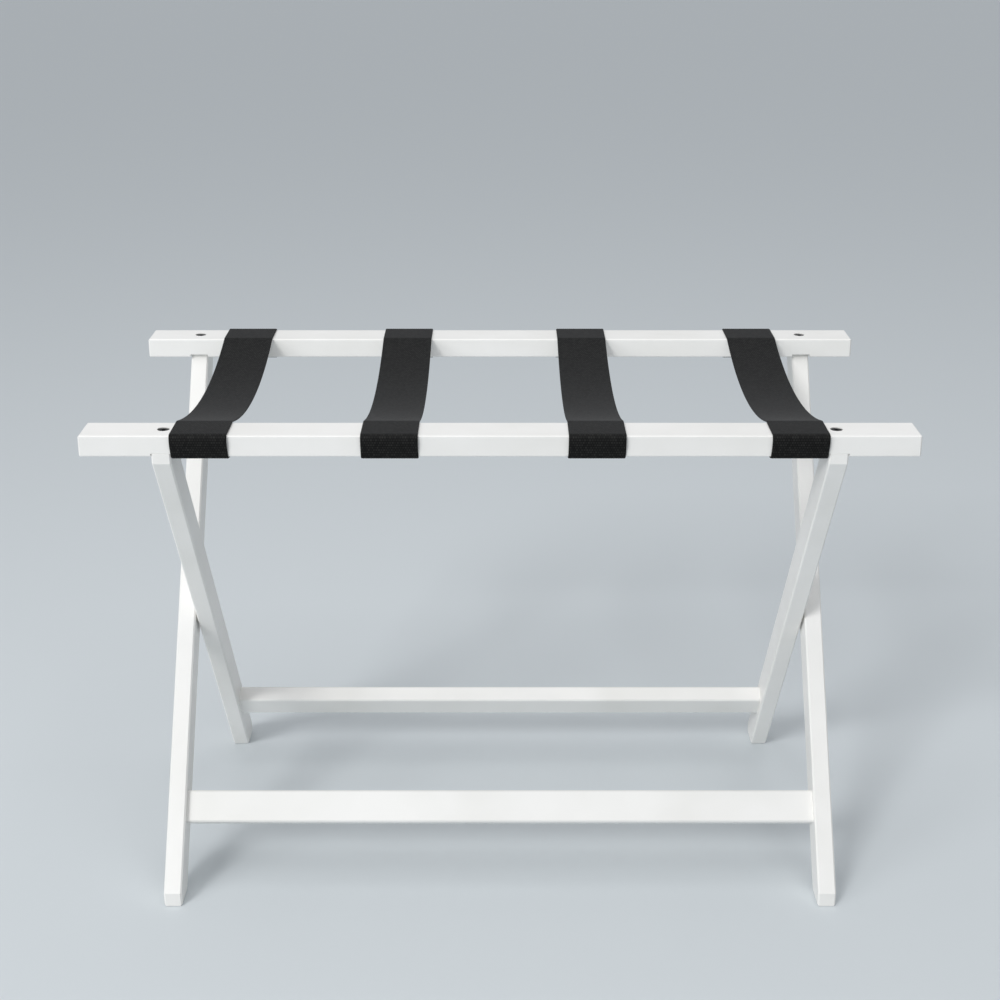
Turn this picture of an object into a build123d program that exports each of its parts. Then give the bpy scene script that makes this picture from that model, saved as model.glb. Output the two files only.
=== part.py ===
"""Folding luggage rack: two wooden frames crossed in an X, joined by pivot bolts and four webbing straps.

The rails run along X, the front is -Y and the floor is Z = 0. The outer frame has the rear rail and stands on
the front feet. The inner frame has the front rail, stands on the rear feet and turns inside the outer frame.
Lengths are in millimetres and angles in degrees.
"""

import os
from math import cos, radians, sin, tan

from build123d import *

# Overall
TOP_HEIGHT = 496.0  # floor to the top of the rails
LEG_TILT = 36.2  # each leg from the vertical, rack open
RAIL_LENGTH = 762.0

# Wooden bars
RAIL_WIDTH = 40.0
RAIL_HEIGHT = 20.0
RAIL_EDGE = 1.5  # rounding of the rail's long edges
RAIL_END_CHAMFER = 1.5  # round the rail's cut ends
LEG_WIDTH = 18.0  # along X
LEG_DEPTH = 32.0  # across the leg, in the plane of the X
LEG_EDGE = 1.5  # arris planed off round each side of the leg
LEG_TOP_EASE = 0.6  # chamfer round the end that seats in the rail
TOP_TRIM = 10.0  # height of the upright cut on the sharp corner at the leg's top
TOE_TRIM = 14.0  # the same at the foot
RAIL_OVERHANG = 45.0  # rail end to the outer leg
HOUSING_DEPTH = 3.0  # leg's end let into the rail
HOUSING_CLEARANCE = 0.5
STRETCHER_HEIGHT = 32.0  # along the leg
STRETCHER_DEPTH = 18.0
STRETCHER_EDGE = 1.5  # arris planed off its long edges
STRETCHER_DROP = 203.5  # pivot to the stretcher's middle, along the leg

# Pivot of the two frames: its bolt's head is let into the outer leg
BOLT_RADIUS = 4.0
BOLT_HEAD_RADIUS = 7.5
BOLT_HEAD_HEIGHT = 2.6
BOLT_SOCKET = 5.0  # hexagon across its flats
BOLT_SOCKET_DEPTH = 2.0
BOLT_SINK = 0.4  # head below the leg's outer face
INSERT_WALL = 2.0
INSERT_LENGTH = 13.0
INSERT_FLOOR = 1.0  # free bore under the bolt's end
SPACER_RADIUS = 10.0
SPACER_THICKNESS = 2.0
HEAD_WASHER_RADIUS = 8.5
HEAD_WASHER_THICKNESS = 1.2
PIVOT_CLEARANCE = 0.05  # bolt in the outer leg, spacer and washer, on the radius
SPACER_PLAY = 0.4  # spacer to the inner leg
HEAD_PLAY = 0.3  # washer under the bolt head to the floor of its counterbore
HEAD_CLEARANCE = 0.5  # washer in the counterbore, on the radius

# Screws that hold each rail on its legs
SCREW_RADIUS = 3.0
SCREW_LENGTH = 42.0
SCREW_HEAD_RADIUS = 5.5
SCREW_HEAD_HEIGHT = 3.0
SCREW_SOCKET = 4.0
SCREW_SOCKET_DEPTH = 2.0
SCREW_SINK = 0.8  # head below the rail's top
SCREW_CLEARANCE = 0.2  # in the rail, on the radius
COUNTERBORE_CLEARANCE = 0.3

# Dowels in the stretchers' ends
DOWEL_RADIUS = 4.0
DOWEL_IN_LEG = 13.0
DOWEL_IN_STRETCHER = 15.0
DOWEL_PITCH = 16.0
DOWEL_END_GAP = 0.5

# Webbing straps, stapled under the rails by hand, so not quite evenly spaced
MIDDLE_STRAPS = {"centre_left": -100.0, "centre_right": 88.0}
STRAP_TO_LEG = 0.6  # outermost straps to the inner legs
STRAP_WIDTH = 52.0
STRAP_THICKNESS = 1.5
STRAP_GAP = 0.3  # webbing to the front rail, which turns inside its loop
STRAP_ROLL = 12.0  # gentle bend where the strap leaves the rail's top
STRAP_HEM = 5.0  # cut end to the rail's inner face
STRAP_SLOPE = 15.0  # the slack strap leaves the rail at this angle

# Staples
STAPLE_CROWN = 11.0
STAPLE_WIRE_WIDTH = 1.2
STAPLE_WIRE_THICKNESS = 0.7
STAPLE_BITE = 8.0  # length in the wood
STAPLE_PITCH = 26.0
STAPLES_PER_END = 2
STAPLE_CLEARANCE = 0.3  # leg to the pierced webbing

# Places that follow from the sizes above
TILT = radians(LEG_TILT)
RAIL_BOTTOM = TOP_HEIGHT - RAIL_HEIGHT
LEG_TOP = RAIL_BOTTOM + HOUSING_DEPTH
PIVOT_Z = LEG_TOP / 2
LEG_SPREAD = PIVOT_Z * tan(TILT)  # leg's centreline from the middle, at the floor and at its top
LEG_HALF_CUT = LEG_DEPTH / (2 * cos(TILT))  # half of the leg along a level cut
RAIL_FACE = LEG_SPREAD + LEG_HALF_CUT - TOP_TRIM * tan(TILT)  # rail's outer face, flush with the leg's trim
TOE_FACE = LEG_SPREAD + LEG_HALF_CUT - TOE_TRIM * tan(TILT)
RAIL_MIDDLE = RAIL_FACE - RAIL_WIDTH / 2
OUTER_LEG_X = RAIL_LENGTH / 2 - RAIL_OVERHANG - LEG_WIDTH / 2
FRAME_GAP = SPACER_THICKNESS + SPACER_PLAY
INNER_LEG_X = OUTER_LEG_X - LEG_WIDTH - FRAME_GAP
OUTER_STRAP_X = INNER_LEG_X - LEG_WIDTH / 2 - STRAP_TO_LEG - STRAP_WIDTH / 2
STRAP_CENTRES = {"left": -OUTER_STRAP_X, **MIDDLE_STRAPS, "right": OUTER_STRAP_X}
BOLT_BORE = BOLT_RADIUS + PIVOT_CLEARANCE
INSERT_RADIUS = BOLT_RADIUS + INSERT_WALL
HEAD_BORE_RADIUS = HEAD_WASHER_RADIUS + HEAD_CLEARANCE
HEAD_BORE_DEPTH = BOLT_SINK + BOLT_HEAD_HEIGHT + HEAD_WASHER_THICKNESS + HEAD_PLAY
FRONT, REAR = -1, 1
SIDES = {"left": -1, "right": 1}

parts = {}


def bar_of(outline, x_middle, width):
    """A bar along X with this outline in the YZ plane."""
    return extrude(Plane.YZ.offset(x_middle - width / 2) * outline, width)


def x_cylinder(radius, x_start, x_end, y=0.0, z=0.0):
    """A round bar along X between two places."""
    low, high = min(x_start, x_end), max(x_start, x_end)
    return extrude(Plane.YZ.offset(low) * Pos(y, z) * Circle(radius), high - low)


def hexagon(across_flats):
    return RegularPolygon(across_flats / 2, 6, major_radius=False)


def leg_outline(top_side):
    """Leg seen along X. top_side says whether its top is at the front or the rear."""
    inner = LEG_SPREAD - LEG_HALF_CUT
    points = [
        (-TOE_FACE, 0),
        (-inner, 0),
        (RAIL_FACE, LEG_TOP - TOP_TRIM),
        (RAIL_FACE, LEG_TOP),
        (inner, LEG_TOP),
        (-TOE_FACE, TOE_TRIM),
    ]
    return make_face(Polyline([(top_side * y, z) for y, z in points], close=True))


def along_leg(top_side, drop):
    """(y, z) of a point on the leg's centreline, this far below the pivot."""
    return -top_side * drop * sin(TILT), PIVOT_Z - drop * cos(TILT)


def on_stretcher(top_side):
    """Place at the stretcher's middle, with its own Y along the leg."""
    y, z = along_leg(top_side, STRETCHER_DROP)
    return Pos(0, y, z) * Rot(X=90 - top_side * LEG_TILT)


def stretcher_end_places(top_side, leg_x):
    """Axes of the two dowels at each end of a stretcher: (side, y, z, x of the shoulder)."""
    for side in SIDES.values():
        for shift in (-DOWEL_PITCH / 2, DOWEL_PITCH / 2):
            y, z = along_leg(top_side, STRETCHER_DROP + shift)
            yield side, y, z, side * (leg_x - LEG_WIDTH / 2)


def dowel_holes(top_side, leg_x):
    """Round cutters for every dowel, in both the stretcher and its legs."""
    holes = Part()
    for side, y, z, shoulder in stretcher_end_places(top_side, leg_x):
        into_leg = shoulder + side * (DOWEL_IN_LEG + DOWEL_END_GAP)
        into_bar = shoulder - side * (DOWEL_IN_STRETCHER + DOWEL_END_GAP)
        holes += x_cylinder(DOWEL_RADIUS, into_leg, into_bar, y, z)
    return holes


def make_dowels(top_side, leg_x):
    dowels = []
    for side, y, z, shoulder in stretcher_end_places(top_side, leg_x):
        in_leg, in_bar = shoulder + side * DOWEL_IN_LEG, shoulder - side * DOWEL_IN_STRETCHER
        dowels.append(x_cylinder(DOWEL_RADIUS, in_leg, in_bar, y, z))
    return Compound(children=dowels)


def make_stretcher(top_side, leg_x):
    """Lower cross bar between the legs, turned with them."""
    length = 2 * (leg_x - LEG_WIDTH / 2)
    bar = Box(length, STRETCHER_HEIGHT, STRETCHER_DEPTH)
    bar = chamfer(bar.edges().filter_by(Axis.X), STRETCHER_EDGE)
    return on_stretcher(top_side) * bar - dowel_holes(top_side, leg_x)


def screw_places(top_side, leg_x):
    for side in SIDES.values():
        yield Pos(side * leg_x, top_side * RAIL_MIDDLE, TOP_HEIGHT)


def drilled(shape, top_side, leg_x, radius, depth):
    """The shape with a round hole from the rail's top on each screw's axis."""
    for place in screw_places(top_side, leg_x):
        shape -= place * extrude(Circle(radius), -depth)
    return shape


def make_screws(top_side, leg_x):
    """Two socket screws, heads just under the rail's top."""
    head_seat = -SCREW_SINK - SCREW_HEAD_HEIGHT
    tip = -SCREW_SINK - SCREW_LENGTH
    outline = [
        (0, -SCREW_SINK),
        (SCREW_HEAD_RADIUS, -SCREW_SINK),
        (SCREW_HEAD_RADIUS, head_seat),
        (SCREW_RADIUS, head_seat),
        (SCREW_RADIUS, tip),
        (0, tip),
    ]
    screw = revolve(Plane.XZ * make_face(Polyline(outline, close=True)), Axis.Z)
    screw -= Pos(0, 0, -SCREW_SINK) * extrude(hexagon(SCREW_SOCKET), -SCREW_SOCKET_DEPTH)
    return Compound(children=[place * screw for place in screw_places(top_side, leg_x)])


def make_leg(top_side, side, leg_x):
    """One leg with its side edges and its top end eased, before its pivot hole."""
    leg = bar_of(leg_outline(top_side), side * leg_x, LEG_WIDTH)
    square_edges = leg.faces().sort_by(Axis.Z)[-1].edges() + leg.edges().filter_by(Axis.X)
    leg = chamfer(leg.edges() - square_edges, LEG_EDGE)
    leg = chamfer(leg.faces().sort_by(Axis.Z)[-1].edges(), LEG_TOP_EASE)
    leg -= dowel_holes(top_side, leg_x)
    return drilled(leg, top_side, leg_x, SCREW_RADIUS, SCREW_SINK + SCREW_LENGTH)


def make_rail(top_side, leg_x):
    """Top rail with a groove across its underside for each leg, and a counterbored hole over it."""
    rail = Box(RAIL_LENGTH, RAIL_WIDTH, RAIL_HEIGHT)
    rail = chamfer(rail.faces().filter_by(Axis.X).edges(), RAIL_END_CHAMFER)
    rail = fillet(rail.edges().filter_by(Axis.X), RAIL_EDGE)
    groove = Box(LEG_WIDTH + 2 * HOUSING_CLEARANCE, RAIL_WIDTH, 2 * HOUSING_DEPTH)
    for side in SIDES.values():
        rail -= Pos(side * leg_x, 0, -RAIL_HEIGHT / 2) * groove
    rail = Pos(0, top_side * RAIL_MIDDLE, RAIL_BOTTOM + RAIL_HEIGHT / 2) * rail
    rail = drilled(rail, top_side, leg_x, SCREW_RADIUS + SCREW_CLEARANCE, RAIL_HEIGHT)
    head_hole = SCREW_HEAD_RADIUS + COUNTERBORE_CLEARANCE
    return drilled(rail, top_side, leg_x, head_hole, SCREW_SINK + SCREW_HEAD_HEIGHT)


def make_frame(name, top_side, leg_x, rail_name):
    """Rail, legs, stretcher and fasteners of one frame, without the pivot."""
    parts[rail_name] = make_rail(top_side, leg_x)
    parts[f"{rail_name}_screws"] = make_screws(top_side, leg_x)
    parts[f"{name}_stretcher"] = make_stretcher(top_side, leg_x)
    parts[f"{name}_stretcher_dowels"] = make_dowels(top_side, leg_x)
    for side_name, side in SIDES.items():
        parts[f"{name}_leg_{side_name}"] = make_leg(top_side, side, leg_x)


def ring(inner_radius, outer_radius, x_start, x_end):
    return x_cylinder(outer_radius, x_start, x_end, z=PIVOT_Z) - x_cylinder(
        inner_radius, x_start, x_end, z=PIVOT_Z
    )


def make_bolt(side, seat, end):
    """Bolt along X with a low flat head: the head sits outside seat and the shank runs in to end."""
    length = seat - end
    top = length + BOLT_HEAD_HEIGHT
    outline = [
        (0, 0),
        (BOLT_RADIUS, 0),
        (BOLT_RADIUS, length),
        (BOLT_HEAD_RADIUS, length),
        (BOLT_HEAD_RADIUS, top),
        (0, top),
    ]
    bolt = revolve(Plane.XZ * make_face(Polyline(outline, close=True)), Axis.Z)
    bolt -= Pos(0, 0, top) * extrude(hexagon(BOLT_SOCKET), -BOLT_SOCKET_DEPTH)
    return Pos(side * end, 0, PIVOT_Z) * Rot(Y=side * 90) * bolt


def make_pivots():
    """Bolts, washers, spacers and threaded inserts of the two pivots, and the holes that they need."""
    insert_face = INNER_LEG_X + LEG_WIDTH / 2
    insert = insert_face - INSERT_LENGTH, insert_face
    leg_inside, leg_outside = OUTER_LEG_X - LEG_WIDTH / 2, OUTER_LEG_X + LEG_WIDTH / 2
    head_floor = leg_outside - HEAD_BORE_DEPTH
    spacer = leg_inside - SPACER_THICKNESS, leg_inside
    washer = head_floor + HEAD_PLAY, head_floor + HEAD_PLAY + HEAD_WASHER_THICKNESS
    rings = {
        "pivot_spacers": (BOLT_BORE, SPACER_RADIUS, spacer),
        "pivot_washers": (BOLT_BORE, HEAD_WASHER_RADIUS, washer),
        "pivot_inserts": (BOLT_RADIUS, INSERT_RADIUS, insert),
    }
    for node, (inner_radius, outer_radius, (start, end)) in rings.items():
        pair = [ring(inner_radius, outer_radius, side * start, side * end) for side in SIDES.values()]
        parts[node] = Compound(children=pair)
    bolts = [make_bolt(side, washer[1], insert[0] + INSERT_FLOOR) for side in SIDES.values()]
    parts["pivot_bolts"] = Compound(children=bolts)
    for side_name, side in SIDES.items():
        bolt_hole = x_cylinder(BOLT_BORE, side * leg_inside, side * head_floor, z=PIVOT_Z)
        head_hole = x_cylinder(HEAD_BORE_RADIUS, side * head_floor, side * leg_outside, z=PIVOT_Z)
        insert_hole = x_cylinder(INSERT_RADIUS, side * insert[0], side * insert[1], z=PIVOT_Z)
        parts[f"outer_leg_{side_name}"] -= bolt_hole + head_hole
        parts[f"inner_leg_{side_name}"] -= insert_hole


def webbing_gap(rail_side):
    """The straps are fast on the rear rail, and the front rail turns inside their loops."""
    return STRAP_GAP if rail_side == FRONT else 0.0


def strap_wrap(rail_side, out):
    """Path round one rail, from the hem below it to the slack span, this far outside the webbing's wood side.

    Returns its edges and its two end points.
    """
    gap = webbing_gap(rail_side)
    face, inner_face = RAIL_FACE + gap + out, RAIL_FACE - RAIL_WIDTH
    top, under = TOP_HEIGHT + gap + out, RAIL_BOTTOM - gap - out
    roll_y, roll_radius = inner_face + RAIL_EDGE, STRAP_ROLL + out
    hem = rail_side * (inner_face + STRAP_HEM), under
    wrap = Polyline(hem, (rail_side * face, under), (rail_side * face, top), (rail_side * roll_y, top))

    def on_roll(angle):
        turn = radians(angle)
        return rail_side * (roll_y - roll_radius * sin(turn)), top - roll_radius * (1 - cos(turn))

    leave = on_roll(STRAP_SLOPE)
    roll = ThreePointArc(on_roll(0), on_roll(STRAP_SLOPE / 2), leave)
    return wrap.edges() + [roll], hem, leave


def strap_outline():
    """Strap seen along X: under, round and over each rail, with a slack span between them."""
    edges, hems = [], []
    for out in (0.0, STRAP_THICKNESS):
        front_edges, front_hem, front_leave = strap_wrap(FRONT, out)
        rear_edges, rear_hem, rear_leave = strap_wrap(REAR, out)
        half_span = (rear_leave[0] - front_leave[0]) / 2
        lowest = 0, (front_leave[1] + rear_leave[1]) / 2 - half_span * tan(radians(STRAP_SLOPE / 2))
        edges += front_edges + rear_edges + [ThreePointArc(front_leave, lowest, rear_leave)]
        hems.append((front_hem, rear_hem))
    edges += [Line(wood_side, outside) for wood_side, outside in zip(*hems)]
    return make_face(edges)


def staple_places(x_middle):
    for number in range(STAPLES_PER_END):
        yield x_middle + (number - (STAPLES_PER_END - 1) / 2) * STAPLE_PITCH


def staple_leg_places(x):
    for side in SIDES.values():
        yield x + side * (STAPLE_CROWN - STAPLE_WIRE_THICKNESS) / 2


def make_staples(rail_side):
    """Every staple under one rail: a crown below the webbing and two legs up into the wood."""
    crown_top = RAIL_BOTTOM - STRAP_THICKNESS - 2 * webbing_gap(rail_side)
    leg_length = RAIL_BOTTOM + STAPLE_BITE - crown_top
    staples = []
    for x_middle in STRAP_CENTRES.values():
        for x in staple_places(x_middle):
            staple = Pos(x, rail_side * RAIL_MIDDLE, crown_top - STAPLE_WIRE_THICKNESS / 2) * Box(
                STAPLE_CROWN, STAPLE_WIRE_WIDTH, STAPLE_WIRE_THICKNESS
            )
            for leg_x in staple_leg_places(x):
                staple += Pos(leg_x, rail_side * RAIL_MIDDLE, crown_top + leg_length / 2) * Box(
                    STAPLE_WIRE_THICKNESS, STAPLE_WIRE_WIDTH, leg_length
                )
            staples.append(staple)
    return Compound(children=staples)


def make_strap(x_middle):
    """One strap, pierced where the staples go through it."""
    strap = bar_of(strap_outline(), x_middle, STRAP_WIDTH)
    pierce = Box(
        STAPLE_WIRE_THICKNESS + 2 * STAPLE_CLEARANCE,
        STAPLE_WIRE_WIDTH + 2 * STAPLE_CLEARANCE,
        2 * STRAP_THICKNESS,
    )
    for rail_side in (FRONT, REAR):
        layer = RAIL_BOTTOM - webbing_gap(rail_side) - STRAP_THICKNESS / 2
        for x in staple_places(x_middle):
            for leg_x in staple_leg_places(x):
                strap -= Pos(leg_x, rail_side * RAIL_MIDDLE, layer) * pierce
    return strap


make_frame("outer", REAR, OUTER_LEG_X, "rear_rail")
make_frame("inner", FRONT, INNER_LEG_X, "front_rail")
make_pivots()
for strap_name, x_middle in STRAP_CENTRES.items():
    parts[f"strap_{strap_name}"] = make_strap(x_middle)
parts["front_rail_staples"] = make_staples(FRONT)
parts["rear_rail_staples"] = make_staples(REAR)

os.makedirs("parts", exist_ok=True)
for node, shape in parts.items():
    export_step(shape, f"parts/{node}.step")
print(f"{len(parts)} nodes, rails' outer faces {2 * RAIL_FACE:.1f} apart, pivot at {PIVOT_Z:.1f}")
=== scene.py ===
# %% [markdown]
# # A folding luggage rack
#
# The rack is two white wooden frames crossed in an X. Black webbing straps join their top rails, and bolts
# let the frames turn on each other, so the rack folds flat. The measured model is loaded first. Every piece
# made here is placed from its boxes, in metres, with +X along the rails, +Y towards the rear rail and +Z up.

# %% Load the measured frame
import math

import bmesh
import bpy
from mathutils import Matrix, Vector


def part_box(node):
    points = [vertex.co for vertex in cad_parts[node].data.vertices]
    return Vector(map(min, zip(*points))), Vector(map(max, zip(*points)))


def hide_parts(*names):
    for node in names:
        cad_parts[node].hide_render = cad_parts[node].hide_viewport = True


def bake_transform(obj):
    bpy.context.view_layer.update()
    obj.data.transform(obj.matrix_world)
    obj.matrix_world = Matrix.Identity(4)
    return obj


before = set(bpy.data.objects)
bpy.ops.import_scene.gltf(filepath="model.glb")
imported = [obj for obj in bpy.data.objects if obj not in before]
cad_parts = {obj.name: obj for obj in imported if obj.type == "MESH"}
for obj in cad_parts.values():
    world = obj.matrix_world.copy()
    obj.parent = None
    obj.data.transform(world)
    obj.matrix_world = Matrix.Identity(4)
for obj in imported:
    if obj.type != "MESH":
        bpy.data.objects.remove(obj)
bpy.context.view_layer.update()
MM = 0.001

# %% [markdown]
# ## The camera
#
# The photograph was taken from in front and a little above, with a short telephoto lens. Fitting a pinhole to
# the corners of the rails, feet and stretchers gave the place, the tilt and the focal length below.

# %% Place the camera
CAMERA_PLACE = Vector((0.0, -1663.2, 979.7)) * MM
CAMERA_DOWN = math.radians(20.28)
FOCAL_LENGTH = 62.05  # in millimetres, as the sensor is
SENSOR_WIDTH = 36.0

camera_data = bpy.data.cameras.new("camera")
camera_data.lens = FOCAL_LENGTH
camera_data.sensor_width = SENSOR_WIDTH
camera = bpy.data.objects.new("camera", camera_data)
camera.location = CAMERA_PLACE
camera.rotation_euler = (math.pi / 2 - CAMERA_DOWN, 0.0, 0.0)
bpy.context.collection.objects.link(camera)
bpy.context.scene.camera = camera
bpy.context.scene.view_settings.view_transform = "Standard"
print("camera at", tuple(round(c, 3) for c in camera.location))

# %% [markdown]
# ## Helpers for finishes
#
# Colours are picked as sRGB hex values, as in a paint chart, and Blender's shaders want linear light. One
# function converts them, and one adds a node with its settings and links, so that a finish reads like a
# recipe.


# %% Colour and node helpers
def linear(hex_colour):
    """A colour such as "F3F2EF" as linear red, green, blue and alpha, by the sRGB curve."""
    parts = [int(hex_colour[i : i + 2], 16) / 255 for i in (0, 2, 4)]
    return [c / 12.92 if c <= 0.04045 else ((c + 0.055) / 1.055) ** 2.4 for c in parts] + [1.0]


def add(tree, kind, inputs=(), **settings):
    """Add a node. An input is a value, or a socket to link from."""
    node = tree.nodes.new(kind)
    for name, value in settings.items():
        setattr(node, name, value)
    for name, value in dict(inputs).items():
        if isinstance(value, bpy.types.NodeSocket):
            tree.links.new(value, node.inputs[name])
        else:
            node.inputs[name].default_value = value
    return node


def new_material(name):
    """An empty material and its node tree, with the surface still to be linked."""
    material = bpy.data.materials.new(name)
    material.use_nodes = True
    tree = material.node_tree
    tree.nodes.clear()
    return material, tree


def finish_material(tree, shader):
    """Link the shader to a new output."""
    add(tree, "ShaderNodeOutputMaterial", {"Surface": shader.outputs[0]})


def ramp(tree, factor, dark, light, low=0.0, high=1.0):
    """Two colours by a factor, between two places on the ramp."""
    node = add(tree, "ShaderNodeValToRGB", {"Fac": factor})
    stops = node.color_ramp.elements
    stops[0].position, stops[0].color = low, linear(dark)
    stops[1].position, stops[1].color = high, linear(light)
    return node.outputs["Color"]


# %% [markdown]
# ## Painted wood
#
# The bars are planed softwood under sprayed satin paint. The paint evens the colour out, but it sinks a
# little into the grain, so a long soft line shows along each bar in raking light, over the finer skin of
# the spray. The grain has to run along its bar, so the pattern is turned for the leaning legs.

# %% Satin white paint
PAINT_LIGHT, PAINT_DARK = "F4F3F0", "EDECE8"
GRAIN_WIDTH = 2.2 * MM  # across the bar
GRAIN_STRETCH = 40.0  # how much longer than wide a grain line is
GRAIN_DEPTH = 0.12 * MM
SPRAY_SKIN = 1.1 * MM  # size of the paint's dimples
SKIN_DEPTH = 0.04 * MM
CLOUD = 90 * MM  # broad unevenness of the coat
PAINT_ROUGHNESS = 0.34, 0.46  # satin, a little duller where the grain is low


def satin_paint(name, turn=0.0):
    """White paint over wood, its grain along X, or turned by an angle round X from the upright."""
    material, tree = new_material(name)
    place = add(tree, "ShaderNodeTexCoord").outputs["Object"]
    squeeze = (1 / GRAIN_STRETCH, 1.0, 1.0) if turn == 0.0 else (1.0, 1.0, 1 / GRAIN_STRETCH)
    turned = add(tree, "ShaderNodeMapping", {"Vector": place, "Rotation": (turn, 0.0, 0.0)})
    along = add(tree, "ShaderNodeMapping", {"Vector": turned.outputs[0], "Scale": squeeze})
    grain = add(
        tree, "ShaderNodeTexNoise",
        {"Vector": along.outputs[0], "Scale": 1 / GRAIN_WIDTH, "Detail": 3.0, "Distortion": 0.6},
    )
    skin = add(tree, "ShaderNodeTexNoise", {"Vector": place, "Scale": 1 / SPRAY_SKIN, "Detail": 1.0})
    cloud = add(tree, "ShaderNodeTexNoise", {"Vector": place, "Scale": 1 / CLOUD, "Detail": 2.0})
    colour = ramp(tree, cloud.outputs["Fac"], PAINT_DARK, PAINT_LIGHT, low=0.3, high=0.62)
    gloss = add(
        tree, "ShaderNodeMapRange",
        {"Value": grain.outputs["Fac"], "To Min": PAINT_ROUGHNESS[0], "To Max": PAINT_ROUGHNESS[1]},
    )
    grain_bump = add(
        tree, "ShaderNodeBump",
        {"Height": grain.outputs["Fac"], "Strength": 0.25, "Distance": GRAIN_DEPTH},
    )
    skin_bump = add(
        tree, "ShaderNodeBump",
        {"Height": skin.outputs["Fac"], "Strength": 0.2, "Distance": SKIN_DEPTH,
         "Normal": grain_bump.outputs[0]},
    )
    shader = add(
        tree, "ShaderNodeBsdfPrincipled",
        {"Base Color": colour, "Roughness": gloss.outputs[0], "IOR": 1.5, "Normal": skin_bump.outputs[0]},
    )
    finish_material(tree, shader)
    return material


LEG_TILT = math.radians(36.2)  # each leg from the upright
paint_bars = satin_paint("satin_paint_bars")
paint_outer_legs = satin_paint("satin_paint_outer_legs", LEG_TILT)
paint_inner_legs = satin_paint("satin_paint_inner_legs", -LEG_TILT)
print("paints", paint_bars.name, paint_outer_legs.name, paint_inner_legs.name)

# %% [markdown]
# ## Metals, nylon and bare wood
#
# The screws and bolts are blackened steel, which is dark and a little oily. Washers, inserts and staples are
# zinc plated, with a faint spangle. The spacers are moulded nylon, and the dowels are bare beech.

# %% Fastener finishes
PLATING_DEPTH = 0.03 * MM  # unevenness of a plated or blackened skin
SHINIER, DULLER = 0.08, 0.1  # how far its roughness strays to either side
NYLON_SKIN = 0.8 * MM  # size of the dimples that the mould leaves
NYLON_DEPTH = 0.03 * MM
FIBRE_WIDTH = 0.7 * MM  # beech fibres, across the dowel
FIBRE_STRETCH = 20.0  # how much longer than wide a fibre is
FIBRE_DEPTH = 0.05 * MM


def plated_steel(name, dark, light, roughness, spangle):
    """Metal with a fine uneven skin: spangle is its size."""
    material, tree = new_material(name)
    place = add(tree, "ShaderNodeTexCoord").outputs["Object"]
    mottle = add(tree, "ShaderNodeTexNoise", {"Vector": place, "Scale": 1 / spangle, "Detail": 4.0})
    colour = ramp(tree, mottle.outputs["Fac"], dark, light, low=0.35, high=0.7)
    gloss = add(
        tree, "ShaderNodeMapRange",
        {"Value": mottle.outputs["Fac"], "To Min": roughness - SHINIER, "To Max": roughness + DULLER},
    )
    bump = add(
        tree, "ShaderNodeBump",
        {"Height": mottle.outputs["Fac"], "Strength": 0.2, "Distance": PLATING_DEPTH},
    )
    shader = add(
        tree, "ShaderNodeBsdfPrincipled",
        {"Base Color": colour, "Metallic": 1.0, "Roughness": gloss.outputs[0], "Normal": bump.outputs[0]},
    )
    finish_material(tree, shader)
    return material


def moulded_nylon(name):
    """Natural nylon: milky, half matt, with a faint moulded skin."""
    material, tree = new_material(name)
    place = add(tree, "ShaderNodeTexCoord").outputs["Object"]
    skin = add(tree, "ShaderNodeTexNoise", {"Vector": place, "Scale": 1 / NYLON_SKIN, "Detail": 2.0})
    colour = ramp(tree, skin.outputs["Fac"], "DEDACD", "ECE9DF", low=0.3, high=0.7)
    bump = add(
        tree, "ShaderNodeBump", {"Height": skin.outputs["Fac"], "Strength": 0.2, "Distance": NYLON_DEPTH}
    )
    shader = add(
        tree, "ShaderNodeBsdfPrincipled",
        {"Base Color": colour, "Roughness": 0.5, "IOR": 1.53, "Normal": bump.outputs[0]},
    )
    finish_material(tree, shader)
    return material


def bare_beech(name):
    """Unfinished beech, grain along X."""
    material, tree = new_material(name)
    place = add(tree, "ShaderNodeTexCoord").outputs["Object"]
    along = add(tree, "ShaderNodeMapping", {"Vector": place, "Scale": (1 / FIBRE_STRETCH, 1.0, 1.0)})
    fibre = add(
        tree, "ShaderNodeTexNoise",
        {"Vector": along.outputs[0], "Scale": 1 / FIBRE_WIDTH, "Detail": 4.0},
    )
    colour = ramp(tree, fibre.outputs["Fac"], "B98D5E", "D9B587", low=0.3, high=0.7)
    bump = add(
        tree, "ShaderNodeBump", {"Height": fibre.outputs["Fac"], "Strength": 0.3, "Distance": FIBRE_DEPTH}
    )
    shader = add(
        tree, "ShaderNodeBsdfPrincipled",
        {"Base Color": colour, "Roughness": 0.7, "IOR": 1.5, "Normal": bump.outputs[0]},
    )
    finish_material(tree, shader)
    return material


black_steel = plated_steel("blackened_steel", "0F0F10", "1D1D1F", 0.42, 0.9 * MM)
zinc_steel = plated_steel("zinc_plated_steel", "AEB1B4", "CFD1D3", 0.34, 1.4 * MM)
nylon = moulded_nylon("natural_nylon")
beech = bare_beech("bare_beech")
print("finishes", black_steel.name, zinc_steel.name, nylon.name, beech.name)

# %% [markdown]
# ## Finishes on the measured pieces
#
# The wooden bars and fasteners already have their true shapes, so they stay, and only their finish changes.
# The name of a piece says what it is made of.

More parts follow.
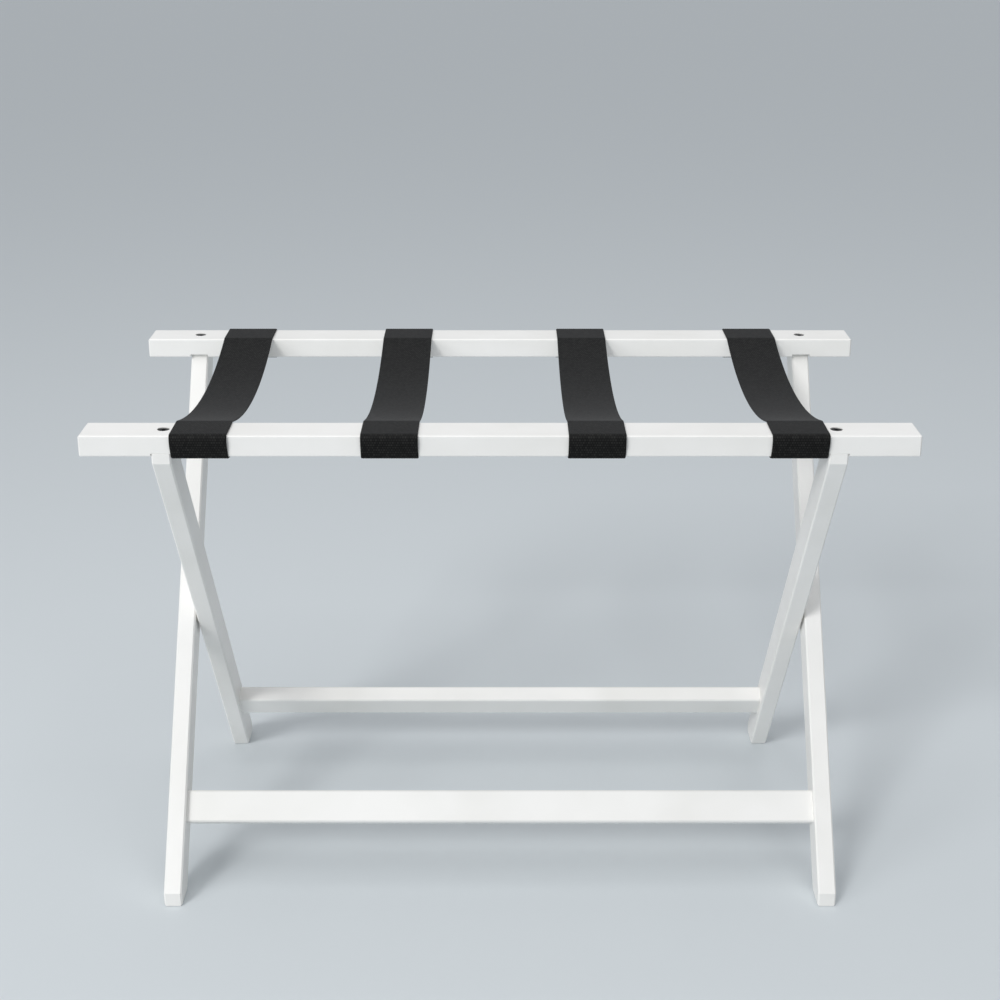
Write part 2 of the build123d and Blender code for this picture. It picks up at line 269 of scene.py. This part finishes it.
# %% Give each measured piece its finish
FINISHES = [
    ("dowels", beech),
    ("screws", black_steel),
    ("bolt", black_steel),
    ("staples", zinc_steel),
    ("washer", zinc_steel),
    ("insert", zinc_steel),
    ("spacer", nylon),
    ("outer_leg", paint_outer_legs),
    ("inner_leg", paint_inner_legs),
    ("rail", paint_bars),
    ("stretcher", paint_bars),
]
for node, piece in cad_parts.items():
    finish = next((finish for word, finish in FINISHES if word in node), None)
    if finish:
        for material_slot in piece.material_slots:
            material_slot.material = finish
print("finished", sum("strap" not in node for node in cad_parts), "measured pieces")

# %% [markdown]
# ## Webbing
#
# The straps are woven black webbing, 52 mm wide. Fat weft yarns lie across it as close ribs, and thin warp
# yarns along it bind them, over one and under the next, so each rib is a row of small bumps. It is matt, with
# a little shine at a flat angle. The grooves round the bumps carry painted shade, a near-black colour where
# they lie in shadow. The yarns here are somewhat coarser than real ones, so that they show in the picture.

# %% Black woven webbing
RIB = 2.3 * MM  # pitch of the ribs, and of the bumps along a rib
PAINTED_GROOVE_SHADE = 0.2  # painted shade: a near-black rim round each bump, where the groove between yarns lies in shadow, as a share of the pitch
YARN_FUZZ = 0.35 * MM  # size of the loose fibres' roughness
FUZZ_DEPTH = 0.1 * MM
YARN_ROUGHNESS = 0.5, 0.75


def woven_webbing(name):
    """Matt black yarn. The pattern follows the strap: U is across it and V along it, in metres."""
    material, tree = new_material(name)
    strap_uv = add(tree, "ShaderNodeUVMap", uv_map="along_strap").outputs[0]
    # The mortar colour is painted shade: the shadowed grooves between the yarn bumps, drawn near-black
    bumps = add(
        tree, "ShaderNodeTexBrick",
        {"Vector": strap_uv, "Scale": 1 / RIB, "Brick Width": 1.0, "Row Height": 1.0,
         "Mortar Size": PAINTED_GROOVE_SHADE, "Mortar Smooth": 0.8, "Color1": linear("272726"),
         "Color2": linear("151515"), "Mortar": linear("010101")},
        offset=0.5,
    )
    fuzz = add(tree, "ShaderNodeTexNoise", {"Vector": strap_uv, "Scale": 1 / YARN_FUZZ, "Detail": 3.0})
    bump = add(
        tree, "ShaderNodeBump",
        {"Height": fuzz.outputs["Fac"], "Strength": 0.35, "Distance": FUZZ_DEPTH},
    )
    rough = add(
        tree, "ShaderNodeMapRange",
        {"Value": fuzz.outputs["Fac"], "To Min": YARN_ROUGHNESS[0], "To Max": YARN_ROUGHNESS[1]},
    )
    shader = add(
        tree, "ShaderNodeBsdfPrincipled",
        {"Base Color": bumps.outputs["Color"], "Roughness": rough.outputs[0], "IOR": 1.49,
         "Specular IOR Level": 0.12, "Sheen Weight": 0.05, "Sheen Roughness": 0.4, "Normal": bump.outputs[0]},
    )
    finish_material(tree, shader)
    return material


webbing = woven_webbing("woven_webbing")
print("webbing", webbing.name)

# %% [markdown]
# ## The straps
#
# Each strap starts under the front rail, goes round and over it, sags to the rear rail and ends under that
# one. It is made as an upholsterer would lay it: one row of points across the webbing is swept along runs and
# bends, half a rib at a time. That gives a plain ribbon, the outer face of the strap.

# %% Sizes of the straps, and the rails that carry them
HALF_RIB = RIB / 2  # spacing of the mesh: a rib's crest, then the groove beside it
STRAP_THICKNESS = 1.5 * MM
STRAP_GAP = 0.1 * MM  # webbing to the wood
UNDER_BEND = 1.6 * MM  # wood side of the turn under a rail, close on the rounding of its edge
TOP_BEND = 2.2 * MM  # the same over the rail's top edge, where the stiff webbing turns wider
STRAP_ROLL = 12.0 * MM  # gentle bend where the strap leaves the rail's top
RAIL_EDGE = 1.5 * MM  # rounding of the rail's long edges
STRAP_HEM = 5.0 * MM  # cut end to the rail's inner face
STRAP_SLOPE = math.radians(15.0)  # angle of the slack strap at the rail
RIB_RELIEF = 0.25 * MM  # crest to groove
SELVEDGE = 0.55 * MM  # rounding of the strap's edges
RIM_ANGLE = math.radians(60)  # an edge sharper than this is rounded
LEANS = {  # how far the hems lie to the side: the straps were pulled round the rails a little askew
    "strap_left": 3.3 * MM, "strap_centre_left": 1.0 * MM,
    "strap_centre_right": -1.7 * MM, "strap_right": -3.0 * MM,
}
SHIFTS = {  # how far each strap lies from the middle of its measured place, on the rails' tops
    "strap_left": -1.3 * MM, "strap_centre_left": 0.0, "strap_centre_right": 0.0, "strap_right": 0.5 * MM,
}
front_low, front_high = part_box("front_rail")
rear_low, rear_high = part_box("rear_rail")
print("rails from", round(front_low[1], 4), "to", round(rear_high[1], 4))


# %% Sweep one strap
def sweep(bm, row, length, heading, turn=0.0, centre=(0.0, 0.0)):
    """Draw a row of points on by a length, straight along a heading or round a centre by an angle."""
    steps = max(2, round(length / HALF_RIB))
    step = length / steps if turn == 0.0 else 0.0
    swept = bmesh.ops.spin(
        bm, geom=row, cent=(0.0, *centre), axis=(1, 0, 0), angle=turn, steps=steps, use_duplicate=False,
        dvec=(0.0, step * math.cos(heading), step * math.sin(heading)),
    )
    return swept["geom_last"], steps


def strap_ribbon(bm, x_low, x_high):
    """The outer face of a strap, one quad wide.

    Returns each row's place along it, where it comes onto the front rail's top, and where it leaves the
    rear rail's.
    """
    # Heights and depths are those of the rear rail. The front rail is its mirror image in Y
    low_bend, high_bend = UNDER_BEND + STRAP_THICKNESS, TOP_BEND + STRAP_THICKNESS
    roll = STRAP_ROLL + STRAP_THICKNESS
    out = STRAP_GAP + STRAP_THICKNESS
    face, under, top = rear_high[1] + out, rear_low[2] - out, rear_high[2] + out
    inside = rear_low[1]
    leave = inside + RAIL_EDGE  # the strap starts to roll off the rail's top
    hem = inside + STRAP_HEM
    sag = leave / math.sin(STRAP_SLOPE) - roll  # radius of the slack span
    sag_centre = 0.0, top - roll + (roll + sag) * math.cos(STRAP_SLOPE)
    quarter = math.pi / 2
    # Runs and turns round the front rail, each with its length, heading, turn and the turn's centre
    wrap = [
        (face - low_bend - hem, math.pi, 0.0, (0.0, 0.0)),
        (low_bend * quarter, 0.0, -quarter, (low_bend - face, under + low_bend)),
        (top - under - low_bend - high_bend, quarter, 0.0, (0.0, 0.0)),
        (high_bend * quarter, 0.0, -quarter, (high_bend - face, top - high_bend)),
        (face - high_bend - leave, 0.0, 0.0, (0.0, 0.0)),
        (roll * STRAP_SLOPE, 0.0, -STRAP_SLOPE, (-leave, top - roll)),
    ]
    span = (sag * 2 * STRAP_SLOPE, 0.0, 2 * STRAP_SLOPE, sag_centre)
    # The rear wrap is the front one in reverse: the same runs and bends, mirrored in Y
    mirrored = [(run, -heading, turn, (-y, z)) for run, heading, turn, (y, z) in reversed(wrap)]

    row = [bm.verts.new((x, -hem, under)) for x in (x_low, x_high)]
    row.append(bm.edges.new(row))
    along, ends = [0.0], []
    for length, heading, turn, centre in [*wrap, span, *mirrored]:
        row, steps = sweep(bm, row, length, heading, turn, centre)
        start = along[-1]
        along += [start + length * (step + 1) / steps for step in range(steps)]
        ends.append(along[-1])
    top_run = len(wrap) - 2  # on the rail's top, second from the slack span
    return along, ends[top_run - 1], ends[-top_run - 1]


# %% [markdown]
# The ribbon becomes cloth in a few moves. It is cut into yarns across its width, the wraps lean, and the
# slack span cups a little. The webbing is too stiff to follow the rail's edges, so it bulges off the rail's
# face. The ribs rise, with a bump wherever a warp yarn passes under. Then the sheet is thickened towards the
# wood, and its sharp rims are rounded into selvedges.

# %% Turn the ribbon into webbing
LEAN_REACH = 38 * MM  # from the rail's top, where the lean starts slowly, to its end under the rail
CUP = 0.5 * MM  # how far the edges of the slack span lift
PUFF = 1.3 * MM  # how far the webbing bulges off the rail's face
PUFF_DROP = 7 * MM  # the middle of the turn over the top edge to the crown of the bulge, down the face
PUFF_REACH = 11 * MM  # the crown to where the webbing lies on the wood again


def weave(bm, name, x_low, width, along, front_edge, rear_edge):
    """Cut a ribbon into yarns, and give it its lean, cup, bulge, ribs and pattern coordinates."""
    row_of = bm.verts.layers.float.new("row")
    for number, vert in enumerate(bm.verts):
        vert[row_of] = number // 2
    columns = round(width / HALF_RIB)
    across = [edge for edge in bm.edges if edge.verts[0][row_of] == edge.verts[1][row_of]]
    bmesh.ops.subdivide_edges(bm, edges=across, cuts=columns - 1)
    bm.normal_update()

    to_crown = (TOP_BEND + STRAP_THICKNESS) * math.pi / 4 + PUFF_DROP
    crowns = front_edge - to_crown, rear_edge + to_crown
    pattern, moves = {}, {}
    for vert in bm.verts:
        row = round(vert[row_of])
        column = round((vert.co.x - x_low) / width * columns)
        wrapped = max(front_edge - along[row], along[row] - rear_edge, 0.0)
        slack = max(0.0, math.sin(math.pi * (along[row] - front_edge) / (rear_edge - front_edge)))
        cup = CUP * slack**2 * (2 * column / columns - 1) ** 2
        from_crown = min(abs(along[row] - crown) for crown in crowns)
        puff = PUFF * max(0.0, 1 - (from_crown / PUFF_REACH) ** 2) ** 2
        crest = row % 2 == 0 and 0 < column < columns
        bump = (row // 2 + column) % 2
        lift = RIB_RELIEF * (0.5 + 0.5 * bump) if crest else 0.0
        sideways = SHIFTS[name] + LEANS[name] * min(wrapped / LEAN_REACH, 1.0) ** 3
        moves[vert] = vert.normal * (lift + puff) + Vector((sideways, 0.0, cup))
        pattern[vert] = (column + 0.5) * HALF_RIB, (row + 1) * HALF_RIB
    uv_layer = bm.loops.layers.uv.new("along_strap")
    for face in bm.faces:
        for loop in face.loops:
            loop[uv_layer].uv = pattern[loop.vert]
    for vert, move in moves.items():
        vert.co += move


def webbing_strap(name):
    """One strap in place of the measured one."""
    low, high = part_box(name)
    width = high[0] - low[0]
    bm = bmesh.new()
    along, front_edge, rear_edge = strap_ribbon(bm, low[0], high[0])
    bm.normal_update()
    bm.faces.ensure_lookup_table()
    if bm.faces[len(bm.faces) // 2].normal.z < 0:  # the slack span faces up
        bmesh.ops.reverse_faces(bm, faces=bm.faces[:])
    weave(bm, name, low[0], width, along, front_edge, rear_edge)
    bmesh.ops.solidify(bm, geom=bm.faces[:], thickness=STRAP_THICKNESS)
    rims = [edge for edge in bm.edges if edge.calc_face_angle(0.0) > RIM_ANGLE]
    bmesh.ops.bevel(bm, geom=rims, offset=SELVEDGE, affect="EDGES", segments=2, profile=0.5, material=-1)
    bmesh.ops.recalc_face_normals(bm, faces=bm.faces[:])
    mesh = bpy.data.meshes.new(name + "_webbing")
    bm.to_mesh(mesh)
    bm.free()
    mesh.shade_smooth()
    mesh.materials.append(webbing)
    strap = bpy.data.objects.new(name + "_webbing", mesh)
    bpy.context.collection.objects.link(strap)

    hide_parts(name)
    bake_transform(strap)
    print(name, "cut", round(along[-1] * 1000, 1), "mm long,", len(mesh.polygons), "faces")
    return strap


straps = [webbing_strap(name) for name in LEANS]
print("straps", *(strap.name for strap in straps))

# %% [markdown]
# ## Floor and light
#
# The rack stands on a plain pale floor. A wide, soft sun from the upper left models the bars, as window light
# does in the photograph. One softbox on the left and one overhead lift the sides and tops, and an even sky
# fills the shadows. Light Path makes the sky brighter to the camera and in reflections than it is as a lamp,
# so the background is pale and the white paint still keeps its shades.

# %% Floor and sky
FLOOR_SIZE = 60.0
FLOOR_DROP = 0.5 * MM  # the floor lies just under the feet
SKY_AS_LAMP, SKY_SEEN = 0.38, 0.75  # brightness of the sky


def plain_floor(name, colour):
    """A matt floor."""
    material, tree = new_material(name)
    shader = add(tree, "ShaderNodeBsdfPrincipled", {"Base Color": linear(colour), "Roughness": 0.8})
    finish_material(tree, shader)
    return material


floor_bm = bmesh.new()
bmesh.ops.create_grid(floor_bm, x_segments=1, y_segments=1, size=FLOOR_SIZE / 2)
floor_mesh = bpy.data.meshes.new("floor")
floor_bm.to_mesh(floor_mesh)
floor_bm.free()
floor_mesh.materials.append(plain_floor("pale_floor", "D6DCDF"))
floor = bpy.data.objects.new("floor", floor_mesh)
floor.location.z = -FLOOR_DROP
bpy.context.collection.objects.link(floor)

world = bpy.data.worlds.new("pale_sky")
world.use_nodes = True
sky = world.node_tree
sky.nodes.clear()
ray = add(sky, "ShaderNodeLightPath").outputs
seen = add(sky, "ShaderNodeMath", {0: ray["Is Camera Ray"], 1: ray["Is Glossy Ray"]}, operation="MAXIMUM")
brightness = add(
    sky, "ShaderNodeMapRange", {"Value": seen.outputs[0], "To Min": SKY_AS_LAMP, "To Max": SKY_SEEN}
)
fill = add(sky, "ShaderNodeBackground", {"Color": linear("F2F5FA"), "Strength": brightness.outputs[0]})
add(sky, "ShaderNodeOutputWorld", {"Surface": fill.outputs[0]})
bpy.context.scene.world = world

# %% Set the lamps
RACK_MIDDLE = (0.0, 0.0, 0.3)
SUN_STRENGTH = 1.12
SUN_WIDTH = math.radians(16)  # a wide source, so the shadows are soft
SUN_HEADING = Vector((0.36, 0.56, -0.45))  # to the right, away from the camera and down
LEFT_PLACE, LEFT_SIZE, LEFT_WATTS = (-2.2, -1.8, 1.4), 1.2, 16.0
OVERHEAD_PLACE, OVERHEAD_SIZE, OVERHEAD_WATTS = (0.0, -0.4, 3.0), 2.4, 30.0


def softbox(name, place, aim, size, watts):
    """A square area lamp turned towards a point."""
    lamp_data = bpy.data.lights.new(name, "AREA")
    lamp_data.size = size
    lamp_data.energy = watts
    lamp = bpy.data.objects.new(name, lamp_data)
    lamp.location = place
    lamp.rotation_euler = (Vector(aim) - Vector(place)).to_track_quat("-Z", "Y").to_euler()
    bpy.context.collection.objects.link(lamp)
    return lamp


sun_data = bpy.data.lights.new("window_light", "SUN")
sun_data.energy = SUN_STRENGTH
sun_data.angle = SUN_WIDTH
sun = bpy.data.objects.new("window_light", sun_data)
sun.rotation_euler = SUN_HEADING.to_track_quat("-Z", "Y").to_euler()
bpy.context.collection.objects.link(sun)
left = softbox("left_softbox", LEFT_PLACE, RACK_MIDDLE, LEFT_SIZE, LEFT_WATTS)
overhead = softbox("overhead_softbox", OVERHEAD_PLACE, RACK_MIDDLE, OVERHEAD_SIZE, OVERHEAD_WATTS)
print("lit by", sun.name, left.name, overhead.name)
